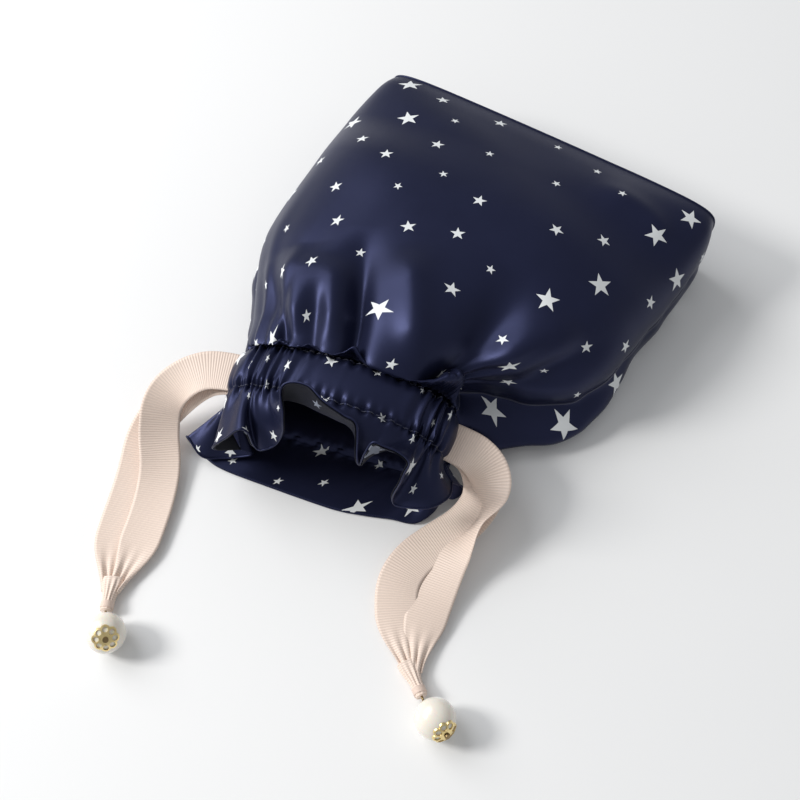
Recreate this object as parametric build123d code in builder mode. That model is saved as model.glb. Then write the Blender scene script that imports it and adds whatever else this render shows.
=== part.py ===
"""A satin drawstring gift pouch with a boxed bottom, lying on its back with its mouth open.

+Z is up, the mouth looks towards -Y and the base towards +Y. The origin is on the
surface that the pouch lies on, under the middle of its box. All sizes are in millimetres.
"""

from build123d import *
import os
from math import cos, radians, sin, tan

os.makedirs("parts", exist_ok=True)

# ---------------------------------------------------------------- driving dimensions

cloth = 1.0  # wall that stands for the satin and its turnings
seam_height = 16.0  # the side seams run at this height above the table
seam_width = 0.8
sole_trim = 0.4
base_y = 90.2  # outside of the boxed bottom, at its middle
base_x = 2.5
base_turn = 1.4  # degrees
base_half_width = 74.5
base_height = 36.5

crest_height = 54.0
belly_half_width = 79.7  # the widest place, a little in front of the base

mouth_x = -2.0  # middle of the casing
mouth_y = -53.0
mouth_turn = 15.0  # degrees, the mouth is laid a little to one side
mouth_half_width = 41.5
mouth_height = 41.0
casing_margin = 1.0  # each side of the ribbon, between it and the casing's stitching line
heading_length = 20.0  # frill between the casing and the hem
hem_flare = 4.0  # how much wider the frill is on each side at its hem
hem_rise = 2.0

ribbon_width = 15.0
ribbon_thick = 0.5
ribbon_room = 0.4  # slack of the two ribbons inside the casing
end_bundle = 12.5  # depth of the tight gathers at each end of the casing
slot_room = 0.4  # each side of a ribbon where it leaves the casing
slot_wall = 1.6
leg_spread = 2.4  # room over, between and under the two legs in that opening
slide_gap = 0.3  # between the front of the mouth and the cloth beside it

left_exit_height = 24.3  # middle of the opening that both legs of a ribbon leave by
right_exit_height = 21.3

gather_thick = 3.2  # the last of each ribbon is gathered into a neck
neck_radius = 2.0
neck_length = 4.0
bead_gap = 2.4  # from the neck's end to the bead
thread = 0.5
whipping_length = 2.6

pearl_radius = 7.0
pin_radius = 0.4
pin_clearance = 0.05
pin_head_radius = 1.0
pin_head_thick = 0.6
pin_lead = 1.3  # straight wire out of the neck before the pin bends
pin_tail = 0.9  # straight wire behind the bead
pin_bend = 0.8
cap_thick = 0.5
cap_petals = 8
petal_radius = 1.65
petal_circle = 2.95
petal_hole = 0.95
cap_hub_radius = 1.9
cap_clearance = 0.15  # under the head of the pin

# ---------------------------------------------------------------- places worked out

along = Vector(cos(radians(mouth_turn)), sin(radians(mouth_turn)), 0)
out = Vector(sin(radians(mouth_turn)), -cos(radians(mouth_turn)), 0)
mouth_middle = Vector(mouth_x, mouth_y, 0)
mouth_plane = Plane(origin=mouth_middle, x_dir=along, z_dir=out)
base_plane = Plane(
    origin=(base_x, base_y, 0),
    x_dir=(cos(radians(base_turn)), sin(radians(base_turn)), 0),
    z_dir=(sin(radians(base_turn)), -cos(radians(base_turn)), 0),
)
casing_width = ribbon_width + 2 * casing_margin
casing_start = -casing_width / 2
casing_end = casing_width / 2
hem = casing_end + heading_length
channel = cloth  # inset of the room for the ribbons
outer_run = channel + ribbon_room
inner_run = outer_run + ribbon_thick
facing = inner_run + ribbon_thick  # inset of the folded-in cloth
mouth_wall = facing + cloth
arch_half = mouth_half_width - end_bundle


def cross(turn, y, x=0.0):
    """The plane of a section, which looks towards the mouth."""
    direction = (sin(radians(turn)), -cos(radians(turn)), 0)
    return Plane(origin=(x, y, 0), x_dir=(cos(radians(turn)), sin(radians(turn)), 0), z_dir=direction)


# Each section: plane, half width at the side seam, height, how far in its foot is on the
# table, and how far in and down its shoulder is.
body_sections = [
    (base_plane, base_half_width, base_height, 4.5, 7.5, 5.0),
    (cross(0.7, 62.0, 0.1), belly_half_width, crest_height - 5.0, 6.7, 15.7, 12.0),
    (cross(0.0, 36.0), belly_half_width - 2.5, crest_height, 6.2, 18.2, 11.0),
    (cross(0.0, 10.0), belly_half_width - 7.7, crest_height, 6.0, 19.0, 10.0),
    (cross(3.0, -12.0, -1.5), belly_half_width - 13.7, crest_height - 2.0, 6.0, 19.0, 9.0),
    (cross(9.0, -31.0, -2.5), belly_half_width - 24.7, crest_height - 5.0, 6.0, 17.0, 8.0),
]
mouth_section = (mouth_half_width, mouth_height, 4.5, 13.5, 6.0)
hem_section = (mouth_half_width + hem_flare, mouth_height + hem_rise, 4.5, 15.5, 6.0)


def dome(half_width, height, foot_in, shoulder_in, shoulder_down, inset=0.0, sole=0.0):
    """A flat-bottomed arch; inset moves every side of it inwards, sole moves its bottom down."""
    side = (half_width - inset, seam_height)
    top = (0, height - inset)
    corner = (half_width - foot_in - inset, inset - sole)
    bend = (half_width - shoulder_in - inset, height - shoulder_down - inset)
    with BuildSketch() as sketch:
        with BuildLine():
            Line((-corner[0], corner[1]), corner)
            Spline(corner, side, bend, top, (-bend[0], bend[1]), (-side[0], side[1]), (-corner[0], corner[1]))
        make_face()
    return sketch.sketch


def body_solid(inset, base_wall, sole=0.0):
    """The pouch between its base and its casing, as one solid."""
    with BuildPart() as solid:
        for place, (plane, *size) in enumerate(body_sections):
            with BuildSketch(plane.offset(base_wall if place == 0 else 0)):
                add(dome(*size, inset, sole))
        with BuildSketch(mouth_plane.offset(casing_start)):
            add(dome(*mouth_section, inset, sole))
        loft()
    return solid.part


def casing_ring(outside, inside, start, stop):
    """A straight ring of the casing, between two insets."""
    with BuildPart() as ring:
        with BuildSketch(mouth_plane.offset(start)):
            add(dome(*mouth_section, outside))
            add(dome(*mouth_section, inside), mode=Mode.SUBTRACT)
        extrude(amount=stop - start)
    return ring.part


def heading_ring(outside, inside):
    """A ring of the frill, which opens out towards its hem."""
    with BuildPart() as ring:
        for inset, mode in ((outside, Mode.ADD), (inside, Mode.SUBTRACT)):
            with BuildSketch(mouth_plane.offset(casing_end)):
                add(dome(*mouth_section, inset))
            with BuildSketch(mouth_plane.offset(hem)):
                add(dome(*hem_section, inset))
            loft(mode=mode)
    return ring.part


def front_block(half, start, stop):
    """The room over the mouth that the front of it is cut from."""
    with BuildPart() as block:
        with BuildSketch(mouth_plane.offset(start)):
            with Locations((0, seam_height)):
                Rectangle(2 * half, 2 * mouth_height, align=(Align.CENTER, Align.MIN))
        extrude(amount=stop - start)
    return block.part


def back_block(half, start, stop):
    """The room under the mouth, between the gathers of the two ends."""
    with BuildPart() as block:
        with BuildSketch(mouth_plane.offset(start)):
            Rectangle(2 * half, seam_height, align=(Align.CENTER, Align.MIN))
        extrude(amount=stop - start)
    return block.part


def save(part, name):
    part.label = name
    export_step(part, f"parts/{name}.step")


# ---------------------------------------------------------------- the body of the pouch

# The sole is trimmed off level with the table, so the pouch lies on a true plane.
with BuildPart() as shell:
    add(body_solid(0, 0, sole=sole_trim))
    add(body_solid(cloth, cloth), mode=Mode.SUBTRACT)
    split(bisect_by=Plane.XY, keep=Keep.TOP)

seam_top = Plane.XY.offset(seam_height + seam_width / 2)
seam_bottom = Plane.XY.offset(seam_height - seam_width / 2)
base_inside = base_plane.offset(cloth)
base_seam_inside = base_plane.offset(cloth + seam_width)

with BuildPart() as base_panel:
    add(shell.part)
    split(bisect_by=base_inside, keep=Keep.BOTTOM)
save(base_panel.part, "base_panel")

with BuildPart() as base_seam:
    add(shell.part)
    split(bisect_by=base_inside, keep=Keep.TOP)
    split(bisect_by=base_seam_inside, keep=Keep.BOTTOM)
save(base_seam.part, "base_seam")

with BuildPart() as wall:
    add(shell.part)
    split(bisect_by=base_seam_inside, keep=Keep.TOP)

with BuildPart() as front_panel:
    add(wall.part)
    split(bisect_by=seam_top, keep=Keep.TOP)
save(front_panel.part, "front_panel")

with BuildPart() as back_panel:
    add(wall.part)
    split(bisect_by=seam_bottom, keep=Keep.BOTTOM)
save(back_panel.part, "back_panel")

with BuildPart() as side_seams:
    add(wall.part)
    split(bisect_by=seam_top, keep=Keep.BOTTOM)
    split(bisect_by=seam_bottom, keep=Keep.TOP)

for name, side in (("left_side_seam", Keep.BOTTOM), ("right_side_seam", Keep.TOP)):
    with BuildPart() as side_seam:
        add(side_seams.part)
        split(bisect_by=Plane.YZ, keep=side)
    save(side_seam.part, name)

# ---------------------------------------------------------------- the back of the mouth

with BuildPart() as back_casing:
    add(casing_ring(0, channel, casing_start, casing_end))
    add(back_block(arch_half, casing_start, casing_end), mode=Mode.INTERSECT)
save(back_casing.part, "back_casing")

with BuildPart() as back_heading:
    add(heading_ring(facing - cloth, facing))
    add(front_block(arch_half, casing_end, hem), mode=Mode.SUBTRACT)
save(back_heading.part, "back_heading")

with BuildPart() as back_facing:
    add(casing_ring(facing, mouth_wall, casing_start, casing_end))
    add(back_block(arch_half, casing_start, casing_end), mode=Mode.INTERSECT)
    add(heading_ring(facing, mouth_wall))
    add(front_block(arch_half, casing_end, hem), mode=Mode.SUBTRACT)
save(back_facing.part, "back_facing")

# ---------------------------------------------------------------- the front of the mouth

front_start = casing_start + slide_gap
front_half = arch_half - slide_gap

with BuildPart() as front_casing:
    add(casing_ring(0, channel, front_start, casing_end))
    add(front_block(front_half, front_start, casing_end), mode=Mode.INTERSECT)
save(front_casing.part, "front_casing")

with BuildPart() as front_heading:
    add(heading_ring(facing - cloth, facing))
    add(front_block(front_half, casing_end, hem), mode=Mode.INTERSECT)
save(front_heading.part, "front_heading")

with BuildPart() as front_facing:
    add(casing_ring(facing, mouth_wall, front_start, casing_end))
    add(heading_ring(facing, mouth_wall))
    add(front_block(front_half, front_start, hem), mode=Mode.INTERSECT)
save(front_facing.part, "front_facing")

# ---------------------------------------------------------------- stitching and ribbon in the casing

run_start = -ribbon_width / 2
run_end = ribbon_width / 2
rows = (
    ("upper_stitching", casing_start, casing_start + seam_width, channel, facing),
    ("lower_stitching", casing_end - seam_width, casing_end, channel, facing),
    ("left_ribbon_run", run_start, run_end, outer_run, inner_run),
    ("right_ribbon_run", run_start, run_end, inner_run, facing),
)
for name, start, stop, outside, inside in rows:
    with BuildPart() as back_row:
        add(casing_ring(outside, inside, start, stop))
        add(back_block(arch_half, start, stop), mode=Mode.INTERSECT)
    save(back_row.part, f"back_{name}")
    front_from = max(start, front_start)
    with BuildPart() as front_row:
        add(casing_ring(outside, inside, front_from, stop))
        add(front_block(front_half, front_from, stop), mode=Mode.INTERSECT)
    save(front_row.part, f"front_{name}")

# ---------------------------------------------------------------- gathered ends of the casing

slot_height = 2 * ribbon_thick + leg_spread
slot_depth = end_bundle - slot_wall

for name, hand, exit_height in (
    ("left_casing_end", -1, left_exit_height),
    ("right_casing_end", 1, right_exit_height),
):
    outwards = along * hand
    exit_plane = Plane(
        origin=mouth_middle + outwards * mouth_half_width,
        x_dir=out * -hand,
        z_dir=outwards,
    )
    with BuildPart() as casing_end_bundle:
        with BuildSketch(mouth_plane.offset(casing_start)):
            add(dome(*mouth_section))
            with Locations((hand * (arch_half - mouth_half_width), 0)):
                Rectangle(2 * mouth_half_width, 3 * mouth_height, mode=Mode.SUBTRACT)
        extrude(amount=casing_width)
        with BuildSketch(exit_plane.offset(-slot_depth)):
            with Locations((0, exit_height)):
                Rectangle(ribbon_width + 2 * slot_room, slot_height)
        extrude(amount=slot_depth + cloth, mode=Mode.SUBTRACT)
    save(casing_end_bundle.part, name)

# ---------------------------------------------------------------- ribbon legs

left_upper_route = [
    (-32.0, -61.0, 25.0),
    (-48.4, -65.4, 25.4),
    (-57.5, -74.0, 23.5),
    (-63.0, -84.0, 16.0),
    (-61.0, -93.5, 8.5),
    (-54.5, -102.5, 4.5),
    (-49.5, -113.5, 3.0),
    (-45.2, -125.5, 2.5),
    (-41.0, -137.0, 2.5),
    (-34.4, -149.5, 2.6),
]
left_lower_route = [
    (-32.0, -61.0, 23.6),
    (-46.5, -64.9, 23.2),
    (-56.0, -74.5, 18.0),
    (-63.0, -85.5, 10.0),
    (-62.5, -96.5, 4.2),
    (-57.0, -107.0, 1.8),
    (-51.6, -118.0, 1.0),
    (-46.8, -129.5, 0.9),
    (-42.0, -140.0, 0.9),
    (-36.0, -151.0, 1.0),
]
right_upper_route = [
    (28.0, -45.3, 22.0),
    (44.5, -40.9, 22.4),
    (54.5, -39.5, 20.5),
    (62.0, -44.5, 17.0),
    (65.5, -54.0, 13.0),
    (64.0, -65.0, 8.5),
    (61.0, -76.0, 5.0),
    (60.0, -87.5, 3.2),
    (58.5, -98.5, 2.6),
    (60.0, -108.0, 2.6),
    (68.0, -116.5, 2.7),
]
right_lower_route = [
    (28.0, -45.3, 20.6),
    (42.0, -41.5, 20.2),
    (52.0, -43.0, 14.5),
    (59.0, -50.5, 8.5),
    (59.5, -61.5, 4.2),
    (55.5, -72.0, 2.0),
    (51.5, -82.0, 1.0),
    (50.5, -92.5, 0.9),
    (54.5, -102.0, 0.9),
    (60.5, -110.0, 0.9),
    (68.5, -116.5, 1.0),
]


def arc_radii(route):
    """As large an arc at each corner of a route as its two runs allow."""
    radii = []
    for before, here, after in zip(route, route[1:], route[2:]):
        arriving = Vector(*here) - Vector(*before)
        leaving = Vector(*after) - Vector(*here)
        half_turn = radians(arriving.get_angle(leaving)) / 2
        radii.append(0.45 * min(arriving.length, leaving.length) / tan(half_turn))
    return radii


def ribbon_leg(route, end_plane):
    """A flat ribbon along a route, cut square where its gathered end starts."""
    radii = arc_radii(route)
    raised = [(x, y, z + ribbon_width) for x, y, z in route]
    with BuildPart() as leg:
        with BuildLine() as line:
            FilletPolyline(*route, radius=radii)
        with BuildLine(mode=Mode.PRIVATE) as upper_line:
            FilletPolyline(*raised, radius=radii)
        path = line.wire()
        with BuildSketch(Plane(origin=path @ 0, x_dir=(0, 0, 1), z_dir=path % 0)):
            Rectangle(ribbon_thick, ribbon_width)
        sweep(path=path, binormal=upper_line.wire())
        swept = leg.part.volume
        split(bisect_by=end_plane, keep=Keep.BOTTOM)
    print("arc radii", [round(radius, 1) for radius in radii])
    print("  volume swept over section x length", round(swept / (ribbon_thick * ribbon_width * path.length), 3))
    print("  length left after the cut", round(path.length * leg.part.volume / swept, 1))
    return leg.part


# ---------------------------------------------------------------- each drawstring and its pearl

# Each tail: where its gathered end starts, where the neck ends, which way the bead
# lies from the neck, and which way its cap looks.
tails = (
    (
        "left",
        (left_upper_route, left_lower_route),
        Vector(-37.6, -145.9, 1.8),
        Vector(-31.6, -157.0, 3.0),
        Vector(0.71, -0.70, 0),
        Vector(0.52, -0.33, 0.79),
    ),
    (
        "right",
        (right_upper_route, right_lower_route),
        Vector(66.0, -114.8, 1.8),
        Vector(76.7, -122.3, 3.6),
        Vector(0.87, -0.49, 0),
        Vector(0.84, -0.41, 0.35),
    ),
)

for name, routes, gather_start, neck_end, bead_way, cap_axis in tails:
    reach = neck_end - gather_start
    heading = Vector(reach.X, reach.Y, 0).normalized()
    gather_plane = Plane(origin=gather_start, x_dir=heading.cross(Vector(0, 0, 1)), z_dir=heading)
    neck_direction = reach.normalized()
    neck_plane = Plane(origin=neck_end - neck_direction * neck_length, z_dir=neck_direction)
    beside = neck_end + bead_way.normalized() * (pearl_radius + bead_gap)
    cap_plane = Plane(origin=(beside.X, beside.Y, pearl_radius), z_dir=cap_axis.normalized())

    for leg_name, route in zip(("upper_leg", "lower_leg"), routes):
        save(ribbon_leg(route, gather_plane), f"{name}_ribbon_{leg_name}")

    with BuildPart() as gather:
        with BuildSketch(gather_plane):
            RectangleRounded(ribbon_width + 2 * thread, gather_thick, gather_thick / 2 - 0.01)
        with BuildSketch(neck_plane):
            Circle(neck_radius)
        loft()
        with BuildSketch(neck_plane):
            Circle(neck_radius)
        extrude(amount=neck_length)
    save(gather.part, f"{name}_ribbon_gather")

    with BuildPart() as whipping:
        with BuildSketch(neck_plane.offset((neck_length - whipping_length) / 2)):
            Circle(neck_radius + thread)
            Circle(neck_radius, mode=Mode.SUBTRACT)
        extrude(amount=whipping_length)
    save(whipping.part, f"{name}_whipping")

    # The pin leaves the neck, bends and runs straight through the pearl to its head.
    pearl_back = cap_plane.origin - cap_plane.z_dir * (pearl_radius + pin_tail)
    head_foot = pearl_radius + cap_thick + cap_clearance
    pin_top = cap_plane.origin + cap_plane.z_dir * (head_foot + pin_head_thick)
    with BuildPart() as pin:
        with BuildLine() as wire:
            FilletPolyline(neck_end, neck_end + neck_direction * pin_lead, pearl_back, pin_top, radius=pin_bend)
        path = wire.wire()
        with BuildSketch(Plane(origin=path @ 0, z_dir=path % 0)):
            Circle(pin_radius)
        sweep(path=path)
        with BuildSketch(cap_plane.offset(head_foot)):
            Circle(pin_head_radius)
        extrude(amount=pin_head_thick)
    save(pin.part, f"{name}_pin")

    with BuildPart() as pearl:
        with Locations(cap_plane):
            Sphere(pearl_radius)
            Cylinder(pin_radius + pin_clearance, 3 * pearl_radius, mode=Mode.SUBTRACT)
    save(pearl.part, f"{name}_pearl")

    with BuildPart() as flower_cap:
        with BuildSketch(cap_plane):
            Circle(cap_hub_radius)
            with PolarLocations(petal_circle, cap_petals):
                Circle(petal_radius)
            with PolarLocations(petal_circle + 0.2, cap_petals):
                Circle(petal_hole, mode=Mode.SUBTRACT)
            Circle(pin_radius + pin_clearance, mode=Mode.SUBTRACT)
        extrude(amount=2 * pearl_radius)
        with Locations(cap_plane):
            Sphere(pearl_radius + cap_thick, mode=Mode.INTERSECT)
            Sphere(pearl_radius, mode=Mode.SUBTRACT)
    save(flower_cap.part, f"{name}_flower_cap")
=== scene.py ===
# %% [markdown]
# # A satin drawstring pouch with ribbon pulls
# The pouch is navy satin printed with small stars. It lies on its back, its mouth is drawn half
# shut, and two blush ribbons end in pearl beads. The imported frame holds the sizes, the bodies and
# the joints, and this lesson puts cloth, ribbon and beads where the frame says they are.
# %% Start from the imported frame
import bpy
import math
import numpy as np
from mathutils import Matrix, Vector


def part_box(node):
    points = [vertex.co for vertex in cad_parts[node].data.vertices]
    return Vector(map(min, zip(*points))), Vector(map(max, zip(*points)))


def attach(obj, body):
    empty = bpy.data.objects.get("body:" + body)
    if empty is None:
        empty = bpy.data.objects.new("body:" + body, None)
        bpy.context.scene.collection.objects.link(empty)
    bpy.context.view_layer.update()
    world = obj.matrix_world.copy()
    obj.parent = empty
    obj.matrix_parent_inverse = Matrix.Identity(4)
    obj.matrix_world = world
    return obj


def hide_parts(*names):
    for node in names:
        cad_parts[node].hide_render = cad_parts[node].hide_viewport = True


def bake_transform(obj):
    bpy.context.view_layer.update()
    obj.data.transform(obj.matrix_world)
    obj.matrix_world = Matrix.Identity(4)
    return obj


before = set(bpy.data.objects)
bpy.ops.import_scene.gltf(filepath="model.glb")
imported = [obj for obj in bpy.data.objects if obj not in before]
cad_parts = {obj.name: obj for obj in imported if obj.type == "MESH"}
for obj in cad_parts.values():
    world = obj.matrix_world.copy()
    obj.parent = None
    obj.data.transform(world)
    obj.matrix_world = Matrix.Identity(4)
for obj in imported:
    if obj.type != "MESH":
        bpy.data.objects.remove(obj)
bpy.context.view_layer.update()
bpy.ops.object.select_all(action="DESELECT")

# %% [markdown]
# The sizes are in millimetres, as a pouch maker writes them, and each mesh is turned to metres
# when it is made. The mouth has its own directions, because it is laid 15 degrees to one side:
# along the casing, out towards the hem, and up.
# %% Sizes and directions
MM = 0.001
FLOOR = 0.35  # the lowest cloth rests on the table by its own thickness
HALF_CLOTH = 93.0  # half the width that each panel was cut to
PANEL = 145.0  # from the base seam to the casing's upper stitching
CASING = 8.5  # from the middle of the casing to each row of stitching
MOUTH = np.array([-2.0, -53.0, 0.0])
LAID = math.radians(15)
ALONG = np.array([math.cos(LAID), math.sin(LAID), 0.0])
OUT = np.array([math.sin(LAID), -math.cos(LAID), 0.0])
UP = np.array([0.0, 0.0, 1.0])
base_low, base_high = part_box("base_panel")
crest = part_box("front_panel")[1].z / MM
print("base", round((base_high.x - base_low.x) / MM, 1), "mm wide, crest", round(crest, 1), "mm high")


def at_mouth(x, s, z):
    """Points from distances along the casing, out towards the hem, and up."""
    x, s, z = np.broadcast_arrays(x, s, z)
    return MOUTH + x[..., None] * ALONG + s[..., None] * OUT + z[..., None] * UP


def smoothstep(value, start, end):
    share = np.clip((np.asarray(value, float) - start) / (end - start), 0, 1)
    return share * share * (3 - 2 * share)


def smooth_rows(rows, steps=24):
    """One smooth line through all the rows, with this many steps to each gap."""
    rows = np.asarray(rows, float)
    ends = np.vstack([2 * rows[0] - rows[1], rows, 2 * rows[-1] - rows[-2]])
    share = np.linspace(0, 1, steps, endpoint=False)[:, None]
    line = []
    for a, b, c, d in zip(ends, ends[1:], ends[2:], ends[3:]):
        curve = 2 * b + (c - a) * share + (2 * a - 5 * b + 4 * c - d) * share**2
        line.append(0.5 * (curve + (3 * b - a - 3 * c + d) * share**3))
    return np.vstack(line + [rows[-1:]])


def length_along(points):
    """How far along the line each of its points lies."""
    gaps = np.linalg.norm(np.diff(points, axis=0), axis=1)
    return np.concatenate([[0], np.cumsum(gaps)])


# %% [markdown]
# ## Camera, table and light
# The camera looks down at the mouth with a 50 mm lens. The key light is a soft one, low on the
# left, which draws the long highlights along the satin's folds. A wider window light from the
# same side and a pale sky fill the shadows.
# %% Camera, table and light
def look_from(place, towards):
    camera_data = bpy.data.cameras.new("camera")
    camera_data.lens = 50
    camera_data.sensor_width = 36
    camera = bpy.data.objects.new("camera", camera_data)
    bpy.context.collection.objects.link(camera)
    camera.location = place
    camera.rotation_euler = towards.to_track_quat("-Z", "Y").to_euler()
    bpy.context.scene.camera = camera


look_from((0.125, -0.210, 0.375), Vector((-0.27207, 0.41910, -0.86622)))


def soft_light(name, towards, distance, size, power, colour):
    data = bpy.data.lights.new(name, "AREA")
    data.shape = "DISK"
    data.size = size
    data.energy = power
    data.color = colour
    light = bpy.data.objects.new(name, data)
    bpy.context.collection.objects.link(light)
    direction = Vector(towards).normalized()
    light.location = direction * distance
    light.rotation_euler = (-direction).to_track_quat("-Z", "Y").to_euler()


soft_light("key_light", (-0.69, -0.45, 0.57), 1.5, 0.42, 14.5, (1.0, 0.99, 0.97))
soft_light("window_light", (-0.75, 0.0, 0.65), 2.0, 1.6, 19.0, (0.97, 0.98, 1.0))

world = bpy.data.worlds.new("pale_room")
world.use_nodes = True
world.node_tree.nodes["Background"].inputs["Color"].default_value = (0.96, 0.98, 1.0, 1)
world.node_tree.nodes["Background"].inputs["Strength"].default_value = 0.42
bpy.context.scene.world = world
bpy.context.scene.view_settings.view_transform = "Standard"

bpy.ops.mesh.primitive_plane_add(size=6, location=(0, 0, 0))
table = bpy.context.object
table.name = "table"


# %% [markdown]
# ## Materials
# Each finish is a small node tree. Patterns that follow the cloth read its own UV map, whose
# unit is 100 mm of cloth, so weave and ribs keep their real pitch however the cloth is folded.
# The first helpers save typing: one adds a node with its settings, and one wires nodes by name.
# %% Node helpers
def new_material(name):
    material = bpy.data.materials.new(name)
    material.use_nodes = True
    tree = material.node_tree
    return material, tree, tree.nodes["Principled BSDF"]


def node(tree, kind, settings=None, **values):
    """Add a node, choose its settings and fill its unlinked inputs."""
    made = tree.nodes.new(kind)
    for setting, value in (settings or {}).items():
        setattr(made, setting, value)
    for socket, value in values.items():
        made.inputs[socket.replace("_", " ")].default_value = value
    return made


def maths(tree, operation, first, second=None):
    made = tree.nodes.new("ShaderNodeMath")
    made.operation = operation
    for socket, value in zip(made.inputs, (first, second)):
        if value is None:
            continue
        if isinstance(value, (int, float)):
            socket.default_value = value
        else:
            tree.links.new(value, socket)
    return made.outputs[0]


def mix_colour(tree, share, first, second):
    made = tree.nodes.new("ShaderNodeMix")
    made.data_type = "RGBA"
    for socket, value in ((made.inputs[0], share), (made.inputs[6], first), (made.inputs[7], second)):
        if isinstance(value, (int, float, tuple)):
            socket.default_value = value
        else:
            tree.links.new(value, socket)
    return made.outputs[2]


def group_with(name, inputs, outputs):
    """An empty node group with named sockets."""
    group = bpy.data.node_groups.new(name, "ShaderNodeTree")
    for socket, kind, value in inputs:
        made = group.interface.new_socket(socket, in_out="INPUT", socket_type=kind)
        if value is not None:
            made.default_value = value
    for socket, kind in outputs:
        group.interface.new_socket(socket, in_out="OUTPUT", socket_type=kind)
    return group, group.nodes.new("NodeGroupInput"), group.nodes.new("NodeGroupOutput")


def place_group(tree, group, **values):
    made = tree.nodes.new("ShaderNodeGroup")
    made.node_tree = group
    for socket, value in values.items():
        target = made.inputs[socket.replace("_", " ")]
        if isinstance(value, (int, float, tuple)):
            target.default_value = value
        else:
            tree.links.new(value, target)
    return made


# %% [markdown]
# The star print is five-fold, so one point of the star is enough: the angle round the star's
# middle is folded back and forth over 36 degrees, and one straight edge then cuts all five
# points. Each piece of cloth carries, as an attribute, the place inside its nearest star, and
# the attribute's third number is 0 only where there is a star.
# %% Star shape
def star_group():
    group, start, end = group_with(
        "star_print", [("Place", "NodeSocketVector", None)], [("Mask", "NodeSocketFloat")]
    )
    split = group.nodes.new("ShaderNodeSeparateXYZ")
    group.links.new(start.outputs["Place"], split.inputs[0])
    x, y = split.outputs[0], split.outputs[1]
    x_squared, y_squared = maths(group, "MULTIPLY", x, x), maths(group, "MULTIPLY", y, y)
    radius = maths(group, "SQRT", maths(group, "ADD", x_squared, y_squared))
    angle = maths(group, "PINGPONG", maths(group, "ARCTAN2", x, y), math.radians(36))
    across = maths(group, "MULTIPLY", radius, maths(group, "SINE", angle))
    inwards = maths(group, "MULTIPLY", radius, maths(group, "COSINE", angle))
    # The edge runs from the tip, at 1, to the inner corner, at 0.382 of the way and 36 degrees round.
    corner_x = 0.39 * math.sin(math.radians(36))
    corner_y = 0.39 * math.cos(math.radians(36))
    slope = (1 - corner_y) / corner_x
    edge = maths(group, "ADD", inwards, maths(group, "MULTIPLY", across, slope))
    sharp = maths(group, "MULTIPLY", maths(group, "SUBTRACT", 1.0, edge), 30.0)
    clamp = group.nodes.new("ShaderNodeClamp")
    group.links.new(sharp, clamp.inputs[0])
    near = maths(group, "LESS_THAN", split.outputs[2], 0.01)
    group.links.new(maths(group, "MULTIPLY", clamp.outputs[0], near), end.inputs["Mask"])
    return group


STAR = star_group()

# %% [markdown]
# Weave is a second shared effect: fine warp and weft waves at a given pitch, worn a little
# uneven by noise. It puts out a height for each material's own Bump node.
# %% Weave
def weave_group():
    group, start, end = group_with(
        "weave",
        [
            ("Cloth", "NodeSocketVector", None),
            ("Warp", "NodeSocketFloat", 1.0),
            ("Weft", "NodeSocketFloat", 1.0),
        ],
        [("Height", "NodeSocketFloat")],
    )
    split = group.nodes.new("ShaderNodeSeparateXYZ")
    group.links.new(start.outputs["Cloth"], split.inputs[0])
    warp = maths(group, "SINE", maths(group, "MULTIPLY", split.outputs[0], start.outputs["Warp"]))
    weft = maths(group, "SINE", maths(group, "MULTIPLY", split.outputs[1], start.outputs["Weft"]))
    noise = node(group, "ShaderNodeTexNoise", Scale=90.0, Detail=3.0)
    group.links.new(start.outputs["Cloth"], noise.inputs["Vector"])
    both = maths(group, "ADD", warp, weft)
    total = maths(group, "ADD", maths(group, "MULTIPLY", both, 0.25), noise.outputs["Fac"])
    group.links.new(total, end.inputs["Height"])
    return group


WEAVE = weave_group()
ONE_PER_MM = 100 * 2 * math.pi  # a wave with a pitch of 1 mm, for a UV unit of 100 mm


# %% [markdown]
# Satin shines because long threads float over its face. The highlight is broad, violet-blue and
# part metallic in look, so the satin is a dark blue Principled with some Metallic and a faint
# sheen. A second copy, for the front facing and the casing bundles, is duller, and its navy and
# its stars are painted much darker as painted shade.
# %% Satin
def satin_material(name, navy, metallic, roughness, star_white):
    material, tree, skin = new_material(name)
    cloth = node(tree, "ShaderNodeUVMap", {"uv_map": "cloth"})
    place = node(tree, "ShaderNodeAttribute", {"attribute_name": "star_place"})
    star = place_group(tree, STAR, Place=place.outputs["Vector"])
    cloud = node(tree, "ShaderNodeTexNoise", Scale=6.0, Detail=4.0)
    tree.links.new(cloth.outputs[0], cloud.inputs["Vector"])
    deep = tuple(0.8 * value for value in navy[:3]) + (1,)
    ground = mix_colour(tree, cloud.outputs["Fac"], deep, navy)
    tree.links.new(mix_colour(tree, star.outputs["Mask"], ground, star_white), skin.inputs["Base Color"])
    dull = maths(tree, "MULTIPLY", star.outputs["Mask"], -metallic)
    tree.links.new(maths(tree, "ADD", dull, metallic), skin.inputs["Metallic"])
    grain = maths(tree, "MULTIPLY", cloud.outputs["Fac"], 0.08)
    tree.links.new(maths(tree, "ADD", grain, roughness), skin.inputs["Roughness"])
    weave = place_group(
        tree, WEAVE, Cloth=cloth.outputs[0], Warp=ONE_PER_MM / 0.22, Weft=ONE_PER_MM / 0.3
    )
    bump = node(tree, "ShaderNodeBump", Strength=0.12, Distance=0.0001)
    tree.links.new(weave.outputs["Height"], bump.inputs["Height"])
    tree.links.new(bump.outputs[0], skin.inputs["Normal"])
    skin.inputs["Specular IOR Level"].default_value = 0.2
    skin.inputs["Sheen Weight"].default_value = 0.03
    skin.inputs["Sheen Roughness"].default_value = 0.35
    skin.inputs["Sheen Tint"].default_value = (0.42, 0.45, 1.0, 1)
    return material


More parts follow.
